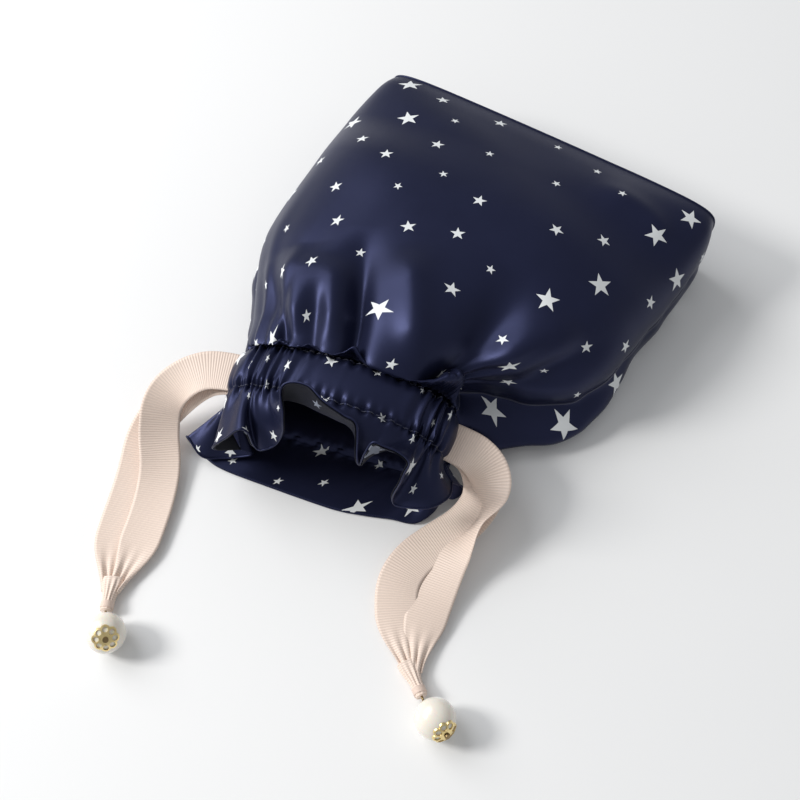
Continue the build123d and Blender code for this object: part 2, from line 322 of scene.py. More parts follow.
satin = satin_material("navy_satin", (0.020, 0.024, 0.062, 1), 0.6, 0.34, (0.74, 0.76, 0.77, 1))
# painted shade: this copy's navy and star colour are painted far darker than the satin's, for cloth lying in
# shade; it is also rougher and less metallic
satin_inside = satin_material(
    "navy_satin_painted_shade", (0.003, 0.004, 0.010, 1), 0.10, 0.55, (0.20, 0.22, 0.27, 1)
)


# %% [markdown]
# Grosgrain ribbon has thick weft ribs across its width, about 0.87 mm apart, and a smooth
# selvedge at each edge. The ribs are a wave along the ribbon's own UV map, which both bumps the
# ribbon and paints shade into the hollows between the ribs.
# %% Ribbon and thread
def ribbon_material(name, colour, rib_pitch, depth):
    material, tree, skin = new_material(name)
    cloth = node(tree, "ShaderNodeUVMap", {"uv_map": "cloth"})
    split = tree.nodes.new("ShaderNodeSeparateXYZ")
    tree.links.new(cloth.outputs[0], split.inputs[0])
    wave = maths(tree, "SINE", maths(tree, "MULTIPLY", split.outputs[1], ONE_PER_MM / rib_pitch))
    rib = maths(tree, "ADD", maths(tree, "MULTIPLY", wave, 0.5), 0.5)
    noise = node(tree, "ShaderNodeTexNoise", Scale=160.0, Detail=3.0)
    tree.links.new(cloth.outputs[0], noise.inputs["Vector"])
    height = maths(tree, "ADD", rib, maths(tree, "MULTIPLY", noise.outputs["Fac"], 0.35))
    bump = node(tree, "ShaderNodeBump", Strength=0.55, Distance=depth)
    tree.links.new(height, bump.inputs["Height"])
    tree.links.new(bump.outputs[0], skin.inputs["Normal"])
    # painted shade: the hollows between the ribs are painted 14 per cent darker, on the whipping thread too
    shade = tuple(0.86 * value for value in colour[:3]) + (1,)
    tree.links.new(mix_colour(tree, rib, shade, colour), skin.inputs["Base Color"])
    uneven = maths(tree, "ADD", maths(tree, "MULTIPLY", noise.outputs["Fac"], 0.15), 0.42)
    tree.links.new(uneven, skin.inputs["Roughness"])
    skin.inputs["Sheen Weight"].default_value = 0.25
    skin.inputs["Sheen Roughness"].default_value = 0.4
    return material


ribbon = ribbon_material("blush_grosgrain", (0.86, 0.70, 0.60, 1), 0.87, 0.00018)
ribbon_thread = ribbon_material("blush_thread", (0.82, 0.66, 0.57, 1), 0.3, 0.00008)


def thread_material(name, colour):
    material, tree, skin = new_material(name)
    place = tree.nodes.new("ShaderNodeTexCoord")
    noise = node(tree, "ShaderNodeTexNoise", Scale=2500.0, Detail=2.0)
    tree.links.new(place.outputs["Object"], noise.inputs["Vector"])
    pale = tuple(1.6 * value for value in colour[:3]) + (1,)
    tree.links.new(mix_colour(tree, noise.outputs["Fac"], colour, pale), skin.inputs["Base Color"])
    bump = node(tree, "ShaderNodeBump", Strength=0.3, Distance=0.0001)
    tree.links.new(noise.outputs["Fac"], bump.inputs["Height"])
    tree.links.new(bump.outputs[0], skin.inputs["Normal"])
    skin.inputs["Roughness"].default_value = 0.55
    skin.inputs["Sheen Weight"].default_value = 0.3
    return material


navy_thread = thread_material("navy_thread", (0.012, 0.015, 0.042, 1))


# %% [markdown]
# The beads are imitation pearl: a cream body under a clear coat, with a faint warm and cool
# cloudiness. The caps are pale gilt brass, finely mottled lighter and darker.
# %% Pearl, gilt and table
def pearl_material():
    material, tree, skin = new_material("cream_pearl")
    place = tree.nodes.new("ShaderNodeTexCoord")
    noise = node(tree, "ShaderNodeTexNoise", Scale=70.0, Detail=3.0)
    tree.links.new(place.outputs["Object"], noise.inputs["Vector"])
    tree.links.new(
        mix_colour(tree, noise.outputs["Fac"], (0.80, 0.72, 0.60, 1), (0.90, 0.87, 0.80, 1)),
        skin.inputs["Base Color"],
    )
    uneven = maths(tree, "ADD", maths(tree, "MULTIPLY", noise.outputs["Fac"], 0.1), 0.22)
    tree.links.new(uneven, skin.inputs["Roughness"])
    skin.inputs["Coat Weight"].default_value = 0.6
    skin.inputs["Coat Roughness"].default_value = 0.12
    skin.inputs["Sheen Weight"].default_value = 0.3
    skin.inputs["Subsurface Weight"].default_value = 0.15
    skin.inputs["Subsurface Scale"].default_value = 0.002
    return material


def gilt_material(name, light, dark, roughness):
    material, tree, skin = new_material(name)
    place = tree.nodes.new("ShaderNodeTexCoord")
    noise = node(tree, "ShaderNodeTexNoise", Scale=900.0, Detail=3.0)
    tree.links.new(place.outputs["Object"], noise.inputs["Vector"])
    tree.links.new(mix_colour(tree, noise.outputs["Fac"], dark, light), skin.inputs["Base Color"])
    uneven = maths(tree, "ADD", maths(tree, "MULTIPLY", noise.outputs["Fac"], 0.15), roughness)
    tree.links.new(uneven, skin.inputs["Roughness"])
    bump = node(tree, "ShaderNodeBump", Strength=0.15, Distance=0.0001)
    tree.links.new(noise.outputs["Fac"], bump.inputs["Height"])
    tree.links.new(bump.outputs[0], skin.inputs["Normal"])
    skin.inputs["Metallic"].default_value = 1.0
    return material


def table_material():
    material, tree, skin = new_material("white_table")
    place = tree.nodes.new("ShaderNodeTexCoord")
    noise = node(tree, "ShaderNodeTexNoise", Scale=3.0, Detail=2.0)
    tree.links.new(place.outputs["Object"], noise.inputs["Vector"])
    tree.links.new(
        mix_colour(tree, noise.outputs["Fac"], (0.86, 0.86, 0.86, 1), (0.89, 0.89, 0.89, 1)),
        skin.inputs["Base Color"],
    )
    skin.inputs["Roughness"].default_value = 0.7
    return material


pearl = pearl_material()
gilt = gilt_material("pale_gilt", (0.95, 0.78, 0.42, 1), (0.74, 0.56, 0.24, 1), 0.22)
pin_metal = gilt_material("pin_metal", (0.35, 0.25, 0.12, 1), (0.20, 0.14, 0.07, 1), 0.3)
table.data.materials.append(table_material())


# %% [markdown]
# ## Cloth from a grid
# Every sheet starts as a flat grid primitive. A shape function then says where each thread
# crossing lies, and the vertices move there, as a sculptor would drag them. The UV map keeps
# the flat cloth's millimetres, and the star attribute keeps the place inside the nearest star.
# %% Sheet helper
def star_places(across, along, stars):
    """For each point of the flat cloth, its place inside the nearest star, or far outside."""
    place = np.full(across.shape + (3,), 1.0)
    for x, y, size, turned in stars:
        angle = math.radians(turned)
        dx, dy = (across - x) / size, (along - y) / size
        near = np.hypot(dx, dy) < 1 + 1.1 / size
        place[near, 0] = (dx * math.cos(angle) + dy * math.sin(angle))[near]
        place[near, 1] = (-dx * math.sin(angle) + dy * math.cos(angle))[near]
        place[near, 2] = 0
    return place


def no_stars(piece):
    """A plain piece in printed satin still carries the attribute, with no star in it."""
    place = piece.data.attributes.new("star_place", "FLOAT_VECTOR", "POINT")
    place.data.foreach_set("vector", np.ones(3 * len(piece.data.vertices)))


def use_only(piece):
    bpy.ops.object.select_all(action="DESELECT")
    piece.select_set(True)
    bpy.context.view_layer.objects.active = piece


def give_wall(piece, thickness):
    use_only(piece)
    wall = piece.modifiers.new("wall", "SOLIDIFY")
    wall.thickness = thickness * MM
    wall.offset = -1
    wall.use_even_offset = False
    bpy.ops.object.modifier_apply(modifier=wall.name)


def sheet_piece(name, points, across, along, stars, material, wall=0.3, face_down=False):
    """A cloth mesh from a grid of points, rows from the mouth side to the base side."""
    rows, columns = points.shape[0] - 1, points.shape[1] - 1
    bpy.ops.object.select_all(action="DESELECT")
    bpy.ops.mesh.primitive_grid_add(x_subdivisions=columns, y_subdivisions=rows, size=1)
    piece = bpy.context.object
    piece.name = name
    mesh = piece.data
    flat = np.empty(len(mesh.vertices) * 3)
    mesh.vertices.foreach_get("co", flat)
    flat = flat.reshape(-1, 3)
    column = np.rint((flat[:, 0] + 0.5) * columns).astype(int)
    row = np.rint((flat[:, 1] + 0.5) * rows).astype(int)
    mesh.vertices.foreach_set("co", (points[row, column] * MM).ravel())
    uv = mesh.uv_layers[0]
    uv.name = "cloth"
    corner = np.empty(len(mesh.loops), int)
    mesh.loops.foreach_get("vertex_index", corner)
    cloth = np.stack([across[row, column], along[row, column]], 1)[corner] * 0.01
    uv.data.foreach_set("uv", cloth.ravel())
    inside_star = mesh.attributes.new("star_place", "FLOAT_VECTOR", "POINT")
    inside_star.data.foreach_set("vector", star_places(across, along, stars)[row, column].ravel())
    if face_down:
        mesh.flip_normals()
    if wall:
        give_wall(piece, wall)
    piece.data.materials.append(material)
    use_only(piece)
    bpy.ops.object.shade_smooth()
    return piece


def normals_of(points, face_down=False):
    """The outward direction at each point of a grid."""
    down_rows, across_columns = np.gradient(points, axis=(0, 1))
    normal = np.cross(across_columns, down_rows)
    normal /= np.maximum(np.linalg.norm(normal, axis=2, keepdims=True), 1e-9)
    return -normal if face_down else normal


def scatter_stars(seed, width, start, end, spacing):
    """Stars of three sizes over a piece of cloth, none of them touching."""
    chance = np.random.default_rng(seed)
    stars = []
    for _ in range(4000):
        x, y = chance.uniform(-width, width), chance.uniform(start, end)
        size = chance.choice([1.9, 2.9, 4.9], p=[0.4, 0.35, 0.25])
        if all(math.hypot(x - a, y - b) > spacing for a, b, _, _ in stars):
            stars.append((x, y, size, chance.uniform(0, 72)))
    return stars


# %% [markdown]
# ## The lie of the pouch
# Eight cross-sections give the stuffed shape: the boxed base, the belly, the slope down to the
# mouth and the casing. Each is an arch over the top, whose squareness falls from the base to
# the mouth, and a flat underside with rounded corners.
# %% Cross-sections
# middle x, middle y, turn, half width, height, squareness, left and right seam height, cloth from base
SECTIONS = [
    (2.5, 90.2, 1.4, 74.5, 36.5, 9.0, 16, 16, 0),
    (1.8, 79, 1.1, 78.0, 41.5, 4.6, 16, 16, 12),
    (0.1, 62, 0.7, 79.3, 47.5, 2.5, 16, 16, 31),
    (0, 36, 0, 77.2, 54, 2.35, 16, 16, 57),
    (-0.5, 10, 0, 74, 54, 2.3, 16, 16, 83),
    (-2.0, -12, 3, 67, 52.5, 2.25, 16, 16, 105),
    (-2.5, -31, 9, 55, 49.5, 2.2, 18, 17, 126),
    (-4.2, -44.8, 15, 41.5, 41, 2.1, 22, 19.5, PANEL),
]
# how the cut width is shared out along the casing: loose in the middle, tight near both ends
BACK_GATHER = [
    (-93, -54.5), (-70, -52), (-48, -47), (-20, -20), (0, 0), (30, 27), (60, 45), (93, 54.5),
]
SEAM_PULL = (3.6, 6.0)  # how far the left and right seams are drawn in towards the mouth
GATHER = [
    (-93, -54.5), (-79, -43), (-52, -32), (-23, -20.5), (0, 0),
    (27, 27), (47, 36.5), (79, 44.5), (93, 54.5),
]


def arch(half_width, height, squareness, left_seam, right_seam, count=301):
    """The upper half of a cross-section, from the left seam over the top to the right seam."""
    angle = np.linspace(0, math.pi, count)
    side = np.cos(angle)
    x = -half_width * np.sign(side) * np.abs(side) ** (2 / squareness)
    seam = np.where(side > 0, left_seam, right_seam)
    return np.stack([x, seam + (height - seam) * np.sin(angle) ** (2 / squareness)], 1)


def underside(half_width, left_seam, right_seam, corner=8.0, count=60):
    """The lower half, from the left seam round the corner, across the table to the right seam."""
    angle = np.linspace(0, math.pi / 2, count)
    left_x = -half_width + corner * (1 - np.cos(angle))
    left_z = left_seam - (left_seam - FLOOR) * np.sin(angle) ** 0.8
    right_z = right_seam - (right_seam - FLOOR) * np.sin(angle) ** 0.8
    left = np.stack([left_x, left_z], 1)
    right = np.stack([-left_x, right_z], 1)[::-1]
    return np.vstack([left, right])


def gathered(across, over=True):
    table = smooth_rows(GATHER if over else BACK_GATHER)
    return np.interp(across, table[:, 0], table[:, 1]) / GATHER[-1][1]


def lay_along(outline, share):
    """Points at these shares of the outline's length, from -1 at its start to 1 at its end."""
    run = length_along(outline)
    want = (share + 1) / 2 * run[-1]
    return np.interp(want, run, outline[:, 0]), np.interp(want, run, outline[:, 1])


def body_skin(across, along, over):
    """The smooth skin of the pouch's body, over the top or underneath, before any fold."""
    table = smooth_rows(SECTIONS)
    stations = np.stack([np.interp(along, table[:, 8], table[:, k]) for k in range(8)], 1)
    points = np.empty((len(along), len(across), 3))
    for row, (x, y, turn, half, height, squareness, left, right) in enumerate(stations):
        if over:
            outline = arch(half, height, squareness, left, right)
        else:
            outline = underside(half, left, right)
        even = across / HALF_CLOTH
        tight = smoothstep(along[row], 70, PANEL)
        share = even + tight * (gathered(across, over) - even)
        along_section, up = lay_along(outline, share)
        drawn = smoothstep(along[row], 95, 124) * (1 - smoothstep(along[row], 128, PANEL))
        pull = np.where(along_section < 0, SEAM_PULL[0], -SEAM_PULL[1]) * drawn
        along_section = along_section + pull * smoothstep(np.abs(along_section) / half, 0.55, 1.0)
        turned = math.radians(turn)
        points[row, :, 0] = x + along_section * math.cos(turned)
        bow = 0.9 * (1 - (along_section / half) ** 2) * (1 - smoothstep(along[row], 0, 40))
        points[row, :, 1] = y + along_section * math.sin(turned) + bow
        points[row, :, 2] = up
    return points


# %% [markdown]
# ## Folds
# A gathered bag is read by its folds. Each one below is a line on the plan, from where it
# fades out to the mouth where it is deepest, with its width and depth. A valley pushes the cloth
# in, and a ridge, which has a negative depth, lifts it. Fine gathers at the stitching come
# from a wave on the cloth, because there the real ones are too many to place singly.
# %% Fold tools
def fold_depth(points, line, width, depth, fade_in=0.6, fade_out=0.0):
    """How far one fold pushes each point in: sharp at its bottom, soft at its shoulders."""
    route = smooth_rows(line, 8)
    run = length_along(route)
    plan = points[..., :2].reshape(-1, 2)
    nearest = np.full(len(plan), np.inf)
    share = np.zeros(len(plan))
    for start, end, run_start, run_end in zip(route, route[1:], run, run[1:]):
        step = end - start
        part = np.clip((plan - start) @ step / (step @ step), 0, 1)
        gap = np.linalg.norm(plan - start - part[:, None] * step, axis=1)
        closer = gap < nearest
        nearest[closer] = gap[closer]
        share[closer] = ((run_start + part * (run_end - run_start)) / run[-1])[closer]
    strength = smoothstep(share, -0.02, fade_in)
    if fade_out:
        strength = strength * (1 - smoothstep(share, 1 - fade_out, 1.02))
    wide = width * (0.75 + 0.5 * (1 - share))
    across_fold = nearest / wide
    profile = strength / (1 + across_fold**2) ** 1.6
    return (depth * profile).reshape(points.shape[:2])


def ripple(across, pitch, phase):
    """An uneven wave over the cloth, as gathers are never all alike."""
    drift = 0.55 * np.sin(across / 9.1 + phase) + 0.35 * np.sin(across / 3.9 + 2.2 * phase)
    return np.sin(2 * math.pi * across / pitch + drift + phase)


TOP_FOLDS = [
    # line on the plan, width, depth
    ([(-52, -22), (-42, -36), (-29, -50)], 5.5, 3.8),
    ([(-30, -26), (-24, -36), (-17, -50)], 5.0, 3.0),
    ([(-27, 2), (-18, -16), (-9, -32), (-2, -46)], 6.0, 7.5),
    ([(30, 20), (33, -4), (33, -22), (29, -37)], 11.0, 9.0),
    ([(72, 26), (60, -2), (47, -22), (34, -36)], 4.5, 4.5),
    ([(52, -14), (42, -27), (31, -37)], 4.0, 3.5),
]
TOP_RIDGES = [
    ([(-46, -14), (-37, -32), (-25, -48)], 8.5, -3.4),
    ([(-30, -12), (-20, -30), (-11, -44)], 7.5, -3.2),
    ([(-10, 4), (2, -12), (13, -27), (21, -38)], 9.5, -4.6),
    ([(60, 14), (48, -4), (39, -22)], 8.0, -3.0),
    ([(30, 72), (50, 72), (70, 68)], 8.0, -1.6),
]

# %% [markdown]
# ## The front of the pouch
# The front panel is one sheet from the boxed base to the casing. It swells forward over the
# casing, so its last stretch leans out over the stitching.
# %% Front panel
def front_panel_points(columns, rows):
    across = np.linspace(-HALF_CLOTH, HALF_CLOTH, columns + 1)
    along = np.linspace(PANEL, 0, rows + 1)
    skin = body_skin(across, along, over=True)
    c, v = np.meshgrid(across, along)
    from_row = PANEL - v
    raised = smoothstep(skin[..., 2], 24, 38)
    swell = 6.5 * np.exp(-(((from_row - 7) / 7) ** 2)) * (1 - np.exp(-((from_row / 2.2) ** 2))) * raised
    skin = skin + swell[..., None] * (OUT + 0.22 * UP)
    push = sum(fold_depth(skin, line, width, depth) for line, width, depth in TOP_FOLDS)
    push = push + sum(fold_depth(skin, line, width, depth, 0.35, 0.3) for line, width, depth in TOP_RIDGES)
    push = push * (1 - 0.75 * np.exp(-((from_row / 3.0) ** 2)))
    spare = 1 - np.clip(np.gradient(gathered(across), across) * 54.5, 0, 1)
    ends = 1 - smoothstep(np.abs(across), 80, 90)
    push = push + 0.5 * spare * ends * ripple(c, 8.5, 0.7) * np.exp(-from_row / 8)
    long_gathers = np.exp(-from_row / 26) * (1 - np.exp(-from_row / 6))
    push = push + 1.7 * spare * ends * ripple(c, 19.0, 2.1) * long_gathers
    push = push + 0.45 * ripple(c, 4.6, 1.3) * np.exp(-((from_row / 3.5) ** 2))
    seam = HALF_CLOTH - np.abs(c)
    push = push + (1.3 + 0.3 * ripple(v, 17, 0.4)) * np.exp(-((seam / 3.6) ** 2))
    push = push + 1.6 * np.exp(-((seam / 7) ** 2)) * np.exp(-((v / 6) ** 2))
    x, y = skin[..., 0], skin[..., 1]
    push = push + 0.5 * np.sin(x / 13 + y / 17) * np.sin(y / 15 - 0.6) * smoothstep(v, 0, 30)
    return skin - push[..., None] * normals_of(skin), c, v


# The places of the printed stars are random, from a fixed seed.
FRONT_STARS = scatter_stars(3, 88, 5, 140, 17)
points, c, v = front_panel_points(230, 200)
front_panel = sheet_piece("front_panel_satin", points, c, v, FRONT_STARS, satin)
front_points, front_along = points, v[:, 0]
front_edge = points[-1]
print("front panel", len(front_panel.data.polygons), "faces")

# %% [markdown]
# ## The back of the pouch
# The back panel goes from seam to seam underneath. It lies flat on the table, and its rounded
# sides show below the side seams.
# %% Back panel
def back_panel_points(columns, rows):
    across = np.linspace(-HALF_CLOTH, HALF_CLOTH, columns + 1)
    along = np.linspace(PANEL, 0, rows + 1)
    skin = body_skin(across, along, over=False)
    c, v = np.meshgrid(across, along)
    seam = HALF_CLOTH - np.abs(c)
    side = smoothstep(skin[..., 2], 0.5, 5)
    push = (1.3 + 0.3 * ripple(v, 17, 0.4)) * np.exp(-((seam / 3.6) ** 2))
    push = push + 0.4 * side * ripple(v + 0.6 * seam, 31, 0.4) * smoothstep(v, 5, 50)
    belly = np.exp(-(((skin[..., 2] - 8) / 6) ** 2))
    belly = belly * smoothstep(v, 55, 112) * (1 - smoothstep(v, 126, PANEL))
    push = push - belly * np.where(c > 0, 9.5, 4.0) * (1 - np.exp(-((seam / 5) ** 2)))
    points = skin - push[..., None] * normals_of(skin, face_down=True)
    for edge in (0, -1):  # the two panels are sewn together, so their edges are one line
        seam_line = front_points[::-1, edge]
        sewn = np.stack([np.interp(along, front_along[::-1], seam_line[:, k]) for k in range(3)], 1)
        near = np.exp(-(((across - across[edge]) / 9) ** 2))
        points += (sewn - points[:, edge])[:, None] * near[None, :, None]
    points[..., 2] = np.maximum(points[..., 2], FLOOR)
    return points, c, v


BACK_STARS = scatter_stars(5, 88, 5, 140, 17)
points, c, v = back_panel_points(180, 120)
back_panel = sheet_piece(
    "back_panel_satin", points, c, v, BACK_STARS, satin, face_down=True
)
back_edge = points[-1]

# %% [markdown]
# The boxed base closes the far end. Its edge is the edge of the two panels, and it swells a
# little between them.
# %% Base panel
def base_panel_points(rows):
    want, have = np.linspace(0, 1, 231), np.linspace(0, 1, len(back_edge))
    lower = np.stack([np.interp(want, have, back_edge[:, k]) for k in range(3)], 1)
    share = np.linspace(0, 1, rows + 1)[:, None, None]
    points = lower[None] * (1 - share) + front_edge[None] * share
    middle = 1 - np.abs(np.linspace(-1, 1, 231)) ** 4
    points[..., 1] += 2.2 * np.sin(math.pi * share[..., 0]) ** 0.7 * middle[None]
    return points


points = base_panel_points(40)
c, v = np.meshgrid(np.linspace(-HALF_CLOTH, HALF_CLOTH, 231), np.linspace(0, 36, 41))
base_panel = sheet_piece(
    "base_panel_satin", points, c, v, scatter_stars(8, 80, 4, 32, 16), satin, face_down=True
)

# %% [markdown]
# ## The casing and the frill
# Past the body the cloth runs on as the casing, a tunnel for the ribbons between two stitched
# rows, and then as the frill. The frill's hem is a free line in space, so it is a list of measured
# places, most of them rounded: distance along the casing, out, and up.
# The front hem stands, folds and droops. The back hem lies on the table between its two ends,
# which rise.
# %% Hems
FRONT_HEM = [
    (-33, 22, 9), (-40, 27, 14), (-38.5, 29, 21.5), (-33, 28, 29.5), (-28.5, 26.5, 34.5),
    (-25.5, 26, 33), (-23.5, 26, 23), (-20.5, 26, 23.5), (-16.5, 24, 26), (-13.5, 23, 35),
    (-12.8, 21.5, 45), (-14.5, 17.5, 54), (-12, 15, 57), (-5, 15, 58.5), (1.5, 18.5, 58),
    (9.5, 21, 57), (14.5, 22.5, 55.5), (16.3, 28.5, 44.5), (17.2, 29, 40.5), (18.8, 28, 47.5),
    (21, 25.5, 52.5), (25, 25.5, 52), (30, 25.5, 50), (34, 26.5, 46), (31.5, 29, 36.5),
    (29.5, 30.5, 23), (32, 30.5, 20), (42, 29, 22), (47, 21, 18), (46, 13, 14),
]
BACK_HEM = [
    (-33, 22, 9), (-29, 21.5, 6), (-34, 22.5, 3), (-40, 25, 2.6), (-47, 27, 4), (-54.5, 22.5, 7),
    (-54, 22, 1.4), (-46, 26, 1.0), (-38, 28.2, 0.6), (-19, 29.6, 0.6), (5, 30.7, 0.6), (16, 29.8, 0.6),
    (27, 28, 0.6), (36.5, 26.8, 0.6), (41, 21, 1.2), (44, 14.5, 2), (48, 13.8, 4), (50, 11, 7), (46, 13, 14),
]
CASING_ENDS = (22.0, 19.5)  # seam height at the left and right end of the casing
OPENING = 2.2  # half the height of the opening that a ribbon leaves by


def casing_outline(over, opening):
    left, right = CASING_ENDS
    if over:
        return arch(41.5, 41, 2.1, left + opening, right + opening)
    return underside(41.5, left - opening, right - opening)


def mouth_points(columns, over, hem, inset=0.0):
    """Casing and frill in one sheet, from the hem to the upper row of stitching."""
    across = np.linspace(-HALF_CLOTH, HALF_CLOTH, columns + 1)
    casing_rows, frill_rows = 50, 60
    share = gathered(across, over)
    hem_line = smooth_rows(hem)
    run = length_along(hem_line)
    want = (across / HALF_CLOTH + 1) / 2 * run[-1]
    hem_points = np.stack([np.interp(want, run, hem_line[:, k]) for k in range(3)], 1)
    hem_points = at_mouth(hem_points[:, 0], hem_points[:, 1], hem_points[:, 2])

    casing = np.empty((casing_rows + 1, columns + 1, 3))
    for row, q in enumerate(np.linspace(1, -1, casing_rows + 1)):
        x, z = lay_along(casing_outline(over, OPENING * (1 - q * q)), share)
        casing[row] = at_mouth(x, CASING * q, z)
    row_points = casing[0]
    reach = np.linalg.norm(hem_points - row_points, axis=1, keepdims=True)
    elbow = row_points + 0.45 * reach * OUT if over else 0.5 * (row_points + hem_points)
    t = np.linspace(1, 0, frill_rows + 1)[:-1, None, None]
    frill = (1 - t) ** 2 * row_points + 2 * t * (1 - t) * elbow + t**2 * hem_points
    points = np.concatenate([frill, casing])

    s = np.concatenate([CASING + 21 * t[:, 0, 0], np.linspace(CASING, -CASING, casing_rows + 1)])
    c, v = np.meshgrid(across, PANEL + CASING + s)
    s = np.broadcast_to(s[:, None], c.shape)
    slope = np.gradient(share, across) * 54.5
    spare = np.clip(1 - slope, 0, 1)
    ends = 1 - smoothstep(np.abs(across), 82, 91)
    in_casing = np.clip(1 - (s / CASING) ** 2, 0, 1)
    past_row = np.clip(s - CASING, 0, None)
    lift = 1.7 * in_casing**0.6 - 0.5 * np.exp(-(((np.abs(s) - CASING) / 1.2) ** 2))
    puckers = (0.5 if over else 0.25) * (ripple(c, 4.4, 0.9) + ripple(c, 7.9, 2.6))
    lift = lift + puckers * np.exp(-(((np.abs(s) - CASING) / 2.6) ** 2)) * ends
    pleat = spare * ends * (0.4 * ripple(c, 8.5, 0.7) + 1.2 * ripple(c + 0.25 * s, 13.0, 2.1))
    lift = lift + pleat * np.where(s > CASING, np.exp(-past_row / 9), 0.8 + 0.2 * np.abs(s) / CASING)
    flutes = 1.7 * spare * ends * ripple(c, 17.0, 0.4) * np.exp(-past_row / 14)
    lift = lift + flutes * smoothstep(s, CASING, CASING + 5)
    outwards = normals_of(points, not over)
    points = points + lift[..., None] * outwards
    points[..., 2] = FLOOR + np.abs(points[..., 2] - FLOOR)
    points = points - (inset * (0.25 + 0.75 * (s < CASING)))[..., None] * outwards
    points[..., 2] = np.maximum(points[..., 2], FLOOR if over or inset == 0 else FLOOR + 0.4)
    return points, c, v


MOUTH_STARS = scatter_stars(12, 88, PANEL, PANEL + 38, 15)
front_mouth_points, c, v = mouth_points(320, True, FRONT_HEM)
front_mouth = sheet_piece("front_casing_and_frill", front_mouth_points, c, v, MOUTH_STARS, satin)
points, c, v = mouth_points(320, True, FRONT_HEM, inset=2.4)
# the facing is in the satin copy with painted shade
front_facing = sheet_piece("front_facing_satin", points, c, v, MOUTH_STARS, satin_inside)
back_mouth_points, c, v = mouth_points(320, False, BACK_HEM)
back_mouth = sheet_piece(
    "back_casing_and_frill", back_mouth_points, c, v, MOUTH_STARS, satin, face_down=True
)
points, c, v = mouth_points(320, False, BACK_HEM, inset=2.4)
back_facing = sheet_piece("back_facing_satin", points, c, v, MOUTH_STARS, satin, face_down=True)


# %% [markdown]
# ## Seams, hems and stitching
# A turned edge and a sewing thread are both thin rounds along a line, so one helper makes them:
# a curve with a round bevel along points taken from the cloth it belongs to, turned into a mesh.
# %% Rounds along the cloth
def round_along(name, points, radius, material, closed=False):
    data = bpy.data.curves.new(name, "CURVE")
    data.dimensions = "3D"
    data.bevel_depth = radius * MM
    data.bevel_resolution = 2
    data.use_fill_caps = not closed
    line = data.splines.new("POLY")
    line.points.add(len(points) - 1)
    for target, point in zip(line.points, points):
        target.co = (*(point * MM), 1)
    line.use_cyclic_u = closed
    piece = bpy.data.objects.new(name, data)
    bpy.context.collection.objects.link(piece)
    use_only(piece)
    bpy.ops.object.convert(target="MESH")
    piece = bpy.context.object
    bpy.ops.object.shade_smooth()
    piece.data.materials.append(material)
    no_stars(piece)
    return piece


front_hem_fold = round_along("front_hem_fold", front_mouth_points[0], 0.4, satin)
back_hem_fold = round_along("back_hem_fold", back_mouth_points[0] + 0.2 * UP, 0.4, satin)


def stitches(name, points, normals, pitch=3.0):
    """A running stitch: the thread lies on the cloth, dips under it and comes up again."""
    run = length_along(points)
    even = np.arange(0, run[-1], 0.25)
    line = np.stack([np.interp(even, run, points[:, k]) for k in range(3)], 1)
    out = np.stack([np.interp(even, run, normals[:, k]) for k in range(3)], 1)
    height = 0.3 - 0.75 * np.clip(np.cos(2 * math.pi * even / pitch), 0, 1)
    return round_along(name, line + height[:, None] * out, 0.17, navy_thread)


front_normals = normals_of(front_mouth_points)
back_normals = normals_of(back_mouth_points, face_down=True)
LOWER_ROW, UPPER_ROW = 60, 110
front_lower = stitches("front_lower_stitches", front_mouth_points[LOWER_ROW], front_normals[LOWER_ROW])
front_upper = stitches("front_upper_stitches", front_mouth_points[UPPER_ROW], front_normals[UPPER_ROW])
back_lower = stitches("back_lower_stitches", back_mouth_points[LOWER_ROW], -back_normals[LOWER_ROW])
back_upper = stitches("back_upper_stitches", back_mouth_points[UPPER_ROW], -back_normals[UPPER_ROW])

left_seam = round_along("left_seam_ridge", front_points[:, 0], 0.4, navy_thread)
right_seam = round_along("right_seam_ridge", front_points[:, -1], 0.4, navy_thread)
base_ring = np.vstack([front_edge, back_edge[::-1][1:-1]])
base_seam = round_along("base_seam_ridge", base_ring, 0.45, satin, closed=True)


# %% [markdown]
# ## Ribbon inside the casing
# Each ribbon goes round the mouth inside the casing. Only glimpses of it show, so each run is a
# plain strip that follows the casing's arch, a little inside it.
# %% Ribbon runs
def ribbon_run(name, over, inset):
    columns = 160
    across = np.linspace(-0.985, 0.985, columns + 1)
    outline = casing_outline(over, 0.0)
    x, z = lay_along(outline, across)
    width = np.linspace(7.3, -7.3, 9)
    points = np.stack([at_mouth(x, np.full_like(x, s), z) for s in width])
    points = points - inset * normals_of(points, not over)
    c, v = np.meshgrid(across * 54, width)
    return sheet_piece(name, points, v, c, [], ribbon, wall=0.25, face_down=not over)


runs = {}
for over, side in ((True, "front"), (False, "back")):
    for inset, hand in ((0.9, "left"), (1.5, "right")):
        runs[side, hand] = ribbon_run(f"{side}_{hand}_run", over, inset)


